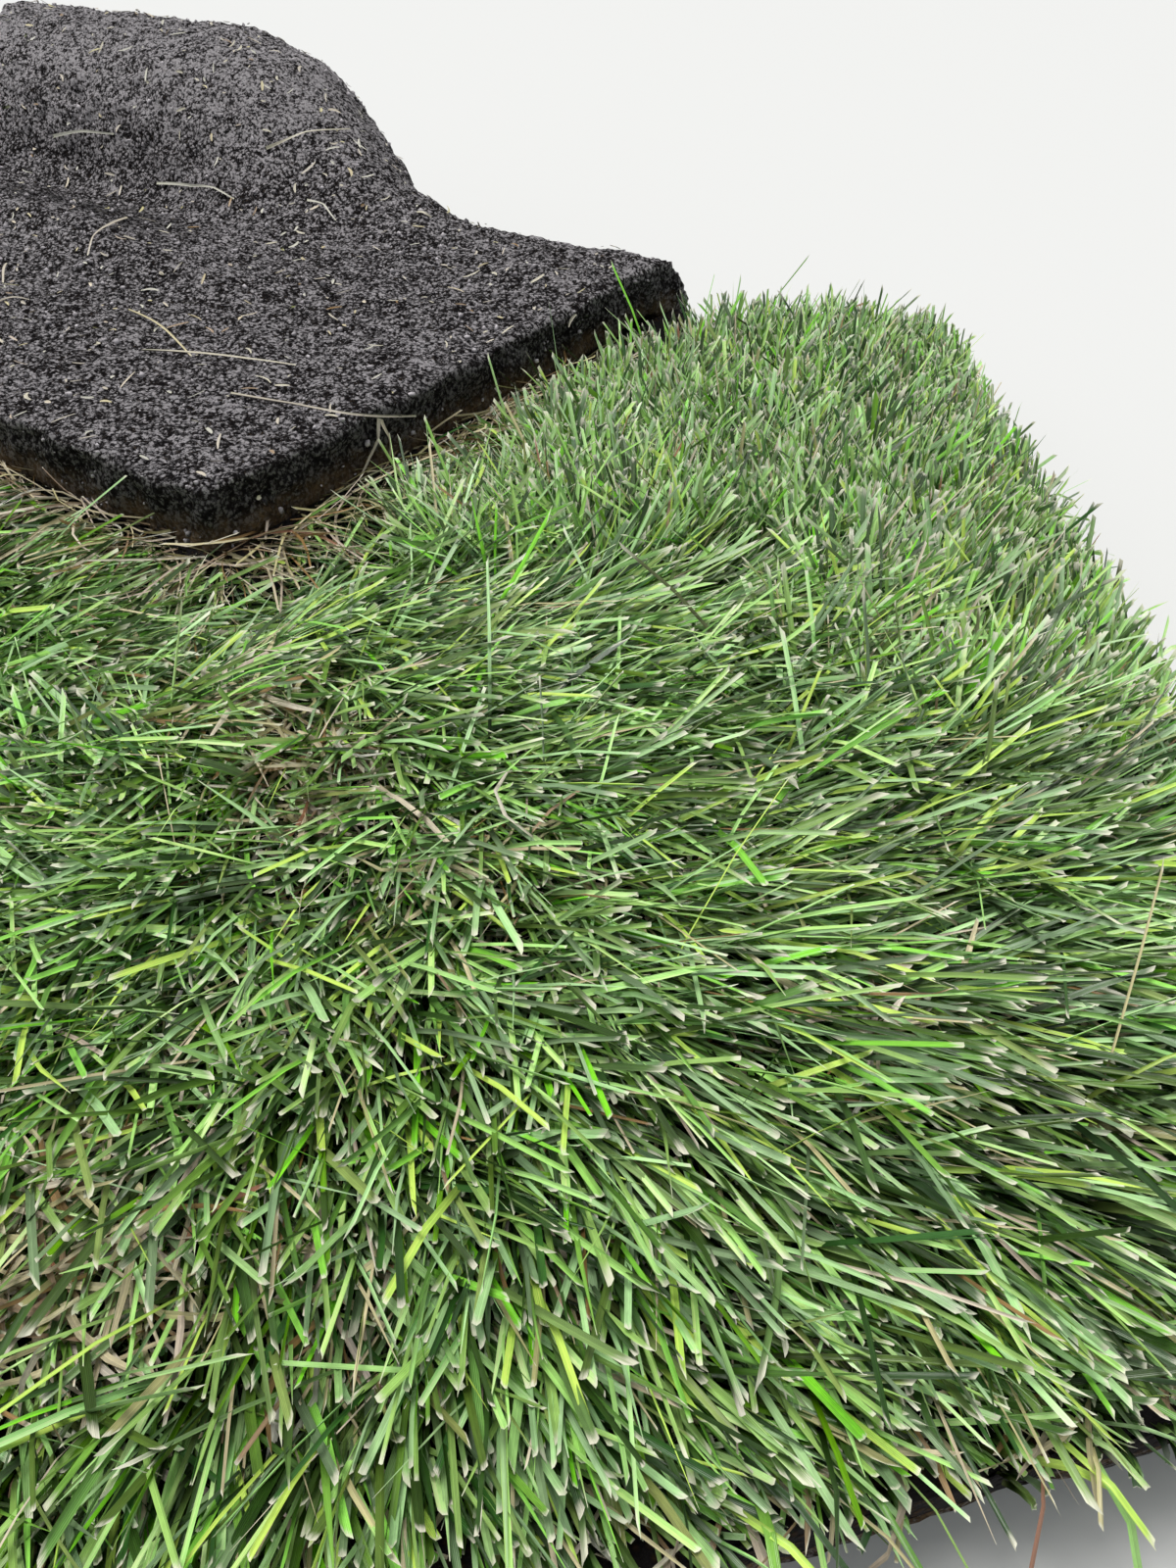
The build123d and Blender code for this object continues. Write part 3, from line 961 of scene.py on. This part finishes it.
class TURF_OT_grass(bpy.types.Operator):
    """Grow the combed grass on the open part, in bands from the near end to the far one"""

    bl_idname = "turf.grass"
    bl_label = "Grass"

    # For each band from the near end: blades to a shoot, rows of faces up a blade, and how far it is folded
    bands = ((4, 3, 0.62), (4, 3, 0.62), (6, 3, 0), (6, 3, 0))

    def execute(self, context):
        sizes = context.scene.turf_sizes
        rng = np.random.default_rng(5)
        ground = open_ground()
        shoots = ground.within(rng, rng.choice(len(ground.open_cells), sizes.shoots))
        across, along = to_strip(shoots)
        inward = along - across * NEAR_SLOPE
        bare = np.maximum(0.85 * closeness(THIN, across, along), np.interp(inward, (8, 45), (0.62, 0)))
        bare = np.maximum(bare, np.clip(-1.6 * patches(shoots, 85, 9) - 0.15, 0, 0.8))
        stays = rng.random(len(shoots)) > bare
        shoots, across, along = shoots[stays], across[stays], along[stays]
        heading, lean = combing(across, along)
        count = len(shoots)
        wander, tuft = patches(shoots, 28, 0), patches(shoots, 70, 5)
        loose = 0.22 + 0.68 * closeness(JUMBLED, across, along)
        heading = heading + SKEW + 0.55 * wander + 0.5 * tuft + rng.normal(0, 1, count) * loose
        lean = lean + 0.2 * np.clip(1 - lean, 0, 1) + 0.14 * wander + 0.16 * tuft + rng.normal(0, 0.10, count)
        pressed = np.clip(2.5 * ground.near_turned(shoots, 0.04), 0, 1)
        lean = np.clip(np.maximum(lean, pressed), 0, 1.05)
        thin = closeness(THIN, across, along)
        short = (1 - 0.35 * np.maximum(thin, pressed)) * np.interp(across, (230, 290), (1, 0.7))
        # Painted light: how many blades in the middle of the strip are swapped for bright bluish and lime ones, their
        # feet left out of the painted foot shade
        painted_light_share = 0.1 + 0.55 * np.interp(along, (110, 180, 330, 400), (0, 1, 1, 0))
        traits = (shoots, heading, lean, thin, pressed, short, painted_light_share)
        order = np.array_split(np.argsort(along), len(self.bands))
        for number, (members, (blades, rows, fold)) in enumerate(zip(order, self.bands), 1):
            own = np.repeat(members, blades)
            piece = self.band(f"grass_band_{number}", sizes, rng, rows, fold, *(trait[own] for trait in traits))
            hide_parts("grass_sward")
        return {"FINISHED"}

    def band(self, name, sizes, rng, rows, fold, places, heading, lean, thin, pressed, short, painted_light_share):
        """One band of the sward as one piece."""
        count = len(places)
        roots = np.column_stack((places + rng.normal(0, 0.0012, (count, 2)), np.full(count, SOIL_TOP + 0.001)))
        stray = rng.random(count) < 0.012
        heading = heading + rng.normal(0, 0.22, count) + stray * rng.normal(0, 0.8, count)
        lean = np.clip(lean + rng.normal(0, 0.07, count), 0, 1.05)
        rise = np.radians(78 - 48 * lean - 18 * pressed + rng.normal(0, 8, count))
        fall = np.radians(68 - 71 * lean - 2 * pressed + rng.normal(0, 9, count))
        combed = np.clip((lean - 0.2) / 0.5, 0, 1)
        length = sizes.far_length + (sizes.near_length - sizes.far_length) * combed
        length = length * np.clip(rng.normal(1, 0.22, count), 0.4, 1.4) * short * np.where(stray, 1.4, 1)
        spill = rng.normal(-0.010, 0.006, count) + 0.024 * (rng.random(count) < 0.10)
        room = open_ground().room(roots, heading) + spill
        length = np.clip(np.minimum(length, room / (0.2 + 0.8 * lean)), 0.010, None)
        spine, bearings, pitches = grow(roots, heading, rise, fall, length, rng.normal(0, 0.18, count), rows)
        share = np.linspace(0, 1, rows + 1)
        turn = rng.normal(0, 0.5, (count, 1)) + rng.normal(0, 0.4, (count, 1)) * share
        side, out = blade_axes(bearings, pitches, turn)
        width = sizes.blade_width * np.clip(rng.normal(0.92, 0.26, count), 0.4, 1.4) * np.where(stray, 0.7, 1)
        blunt = rng.random(count) < 0.82
        cut = np.interp(share, (0, 0.2, 0.4, 0.8, 1), (0.62, 0.86, 1, 0.97, 0.9))
        pointed = np.interp(share, (0, 0.2, 0.4, 0.8, 1), (0.62, 0.85, 1, 0.6, 0.08))
        slant = np.where(blunt, rng.normal(0, 0.07, count), 0)
        column = self.columns(rng, count, combed, thin)
        # Painted light: more bright bluish and lime blades in the middle of the strip
        column = np.where(rng.random(count) < 0.45 * painted_light_share, pick(rng, count, bluish=0.6, lime=0.4), column)
        width = width * np.where(column >= KINDS["straw"][0], 0.6, 1)
        taper = np.where(blunt[:, None], cut, pointed)
        # Painted light: these blades start halfway up the chart, so they skip the painted foot shade and the pale
        # sheath
        foot = np.where(rng.random(count) < painted_light_share, 0.5, 0.01)
        return ribbons(name, spine, side, out, width, fold, column, slant, taper, foot)

    def columns(self, rng, count, combed, thin):
        """Chart columns: bluish where the grass stands, greener where it lies, and drier where it is thin."""
        standing = pick(
            rng, count, deep=0.15, mid=0.34, bluish=0.32, lime=0.12, olive=0.015, straw=0.055, rust=0.008,
        )
        lying = pick(
            rng, count, deep=0.14, mid=0.34, bluish=0.29, lime=0.16, olive=0.01, straw=0.045, brown=0.015,
        )
        dry = pick(rng, count, mid=0.25, lime=0.10, olive=0.15, straw=0.33, brown=0.17)
        column = np.where(rng.random(count) < combed, lying, standing)
        return np.where(rng.random(count) < 0.55 * thin, dry, column)


class TURF_OT_fringe(bpy.types.Operator):
    """Grow the blades that stick out from under the turned part and those that line the loop"""

    bl_idname = "turf.fringe"
    bl_label = "Fringe"

    def execute(self, context):
        sizes = context.scene.turf_sizes
        rng = np.random.default_rng(41)
        for piece in (self.fringe(sizes, rng), self.lining(sizes, rng)):
            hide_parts("grass_sward")
        return {"FINISHED"}

    def faces(self, name, wanted):
        """Corners, normals and areas of a CAD node's faces that pass a test on their centre and normal."""
        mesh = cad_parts[name].data
        found = []
        for face in mesh.polygons:
            if wanted(face.center, face.normal):
                corners = [mesh.vertices[index].co[:] for index in face.vertices[:3]]
                found.append((corners, face.normal[:], face.area))
        return [np.array(values) for values in zip(*found)]

    def is_rim(self, centre, normal):
        """Whether a face of the soil is a side of the turned part, with the pressed sward below it."""
        if abs(normal.z) > 0.4 or centre.z < UNDER_FLAP:
            return False
        inside = Vector((centre.x - 0.003 * normal.x, centre.y - 0.003 * normal.y, UNDER_FLAP - 0.008))
        above, downward = node_tree("soil_mat").ray_cast(inside, UP)[:2]
        return above is not None and above.z < UNDER_FLAP + LEVEL and downward.z < -0.98

    def scatter(self, rng, count, faces):
        """Random points on triangles, with their normals."""
        corners, normals, areas = faces
        picked = rng.choice(len(areas), count, p=areas / areas.sum())
        first, second = rng.random((2, count, 1))
        flip = first + second > 1
        first, second = np.where(flip, 1 - first, first), np.where(flip, 1 - second, second)
        tri = corners[picked]
        return tri[:, 0] + first * (tri[:, 1] - tri[:, 0]) + second * (tri[:, 2] - tri[:, 0]), normals[picked]

    def fringe(self, sizes, rng):
        """Green blades that point out from under the turned part, and dry strands along its edge."""
        points, normals = self.scatter(rng, sizes.fringe, self.faces("soil_mat", self.is_rim))
        count = len(points)
        points[:, 2] = UNDER_FLAP + 0.001 - 0.015 * rng.random(count) ** 1.5
        outward = np.arctan2(normals[:, 1], normals[:, 0])
        strand = rng.random(count) < 0.5
        points[:, 2] += strand * 0.004
        sideways = np.where(rng.random(count) < 0.5, 1.3, -1.3)
        heading = outward + strand * sideways + rng.normal(0, 0.6, count)
        roots = points - normals * (0.009 * rng.random(count) + np.where(strand, -0.006, 0.001))[:, None]
        rise = np.radians(rng.normal(6, 13, count))
        fall = np.radians(rng.normal(-6, 14, count))
        length = np.where(strand, 0.025, 0.018) + 0.030 * rng.random(count)
        curl = rng.normal(0, 1, count) * np.where(strand, 1.1, 0.4)
        spine, bearings, pitches = grow(roots, heading, rise, fall, length, curl, 4)
        side, out = blade_axes(bearings, pitches, rng.normal(0, 0.8, (count, 1)))
        green = pick(
            rng, count, deep=0.14, mid=0.32, bluish=0.12, lime=0.18, olive=0.08, straw=0.10, brown=0.05, rust=0.01,
        )
        dry = pick(rng, count, straw=0.55, cream=0.05, brown=0.34, olive=0.05, rust=0.01)
        column = np.where(strand, dry, green)
        width = sizes.blade_width * np.clip(rng.normal(0.9, 0.25, count), 0.3, 1.3) * np.where(strand, 0.6, 1)
        slant = rng.normal(0, 0.1, count)
        return ribbons("edge_fringe", spine, side, out, width, 0.5, column, slant, (0.8, 1, 1, 0.95, 0.8))

    def lining(self, sizes, rng):
        """Blades pressed flat against the inside of the loop."""
        points, normals = self.scatter(rng, sizes.lining, self.faces("grass_sward", self.is_lining))
        count = len(points)
        heading = np.where(rng.random(count) < 0.5, 0, math.pi) + rng.normal(0, 0.5, count)
        along, side = on_faces(normals, heading, flatten=0.4)
        out = normals[:, None]
        share = np.linspace(0, 1, 5)[None, :, None]
        length = 0.022 + 0.02 * rng.random((count, 1, 1))
        lift = 0.0005 + 0.010 * rng.random((count, 1, 1))
        spine = points[:, None] + along * share * length + out * lift * np.sin(share * 2.4)
        spine[..., 0] = np.clip(spine[..., 0], cad_box[0][0] - 0.004, None)
        column = pick(rng, count, deep=0.30, mid=0.36, bluish=0.06, lime=0.10, straw=0.12, brown=0.06)
        width = sizes.blade_width * np.clip(rng.normal(0.9, 0.2, count), 0.4, 1.3)
        slant = rng.normal(0, 0.1, count)
        return ribbons("loop_lining", spine, side, out, width, 0.5, column, slant, (0.7, 1, 1, 0.95, 0.85))

    def is_lining(self, centre, normal):
        """Whether a face of the sward is under the turned part and looks into open space inside the loop."""
        if abs(normal.x) > 0.25 or node_tree("soil_mat").ray_cast(centre, UP)[0] is None:
            return False
        return node_tree("grass_sward").ray_cast(centre + normal * 0.001, normal, 0.12)[0] is not None


class TURF_PT_panel(bpy.types.Panel):
    """Steps and settings of the dressing"""

    bl_idname = "TURF_PT_panel"
    bl_label = "Turf"
    bl_space_type = "VIEW_3D"
    bl_region_type = "UI"
    bl_category = "Turf"

    def draw(self, context):
        for step in STEPS:
            self.layout.operator(step.bl_idname)
        for group in (context.scene.turf_sizes, context.scene.turf_colours, context.scene.turf_stage):
            box = self.layout.box()
            for name in group.__annotations__:
                box.prop(group, name)


STEPS = (TURF_OT_stage, TURF_OT_peat, TURF_OT_crumbs, TURF_OT_straws, TURF_OT_thatch, TURF_OT_grass, TURF_OT_fringe)
GROUPS = {"turf_sizes": TurfSizes, "turf_colours": TurfColours, "turf_stage": TurfStage}


def register():
    for group in GROUPS.values():
        bpy.utils.register_class(group)
    for step in STEPS:
        bpy.utils.register_class(step)
    bpy.utils.register_class(TURF_PT_panel)
    for name, group in GROUPS.items():
        setattr(bpy.types.Scene, name, PointerProperty(type=group))


def unregister():
    for name in GROUPS:
        delattr(bpy.types.Scene, name)
    for known in (TURF_PT_panel, *STEPS, *GROUPS.values()):
        bpy.utils.unregister_class(known)


def main():
    register()
    for step in STEPS:
        family, action = step.bl_idname.split(".")
        getattr(getattr(bpy.ops, family), action)()


if __name__ == "__main__":
    main()
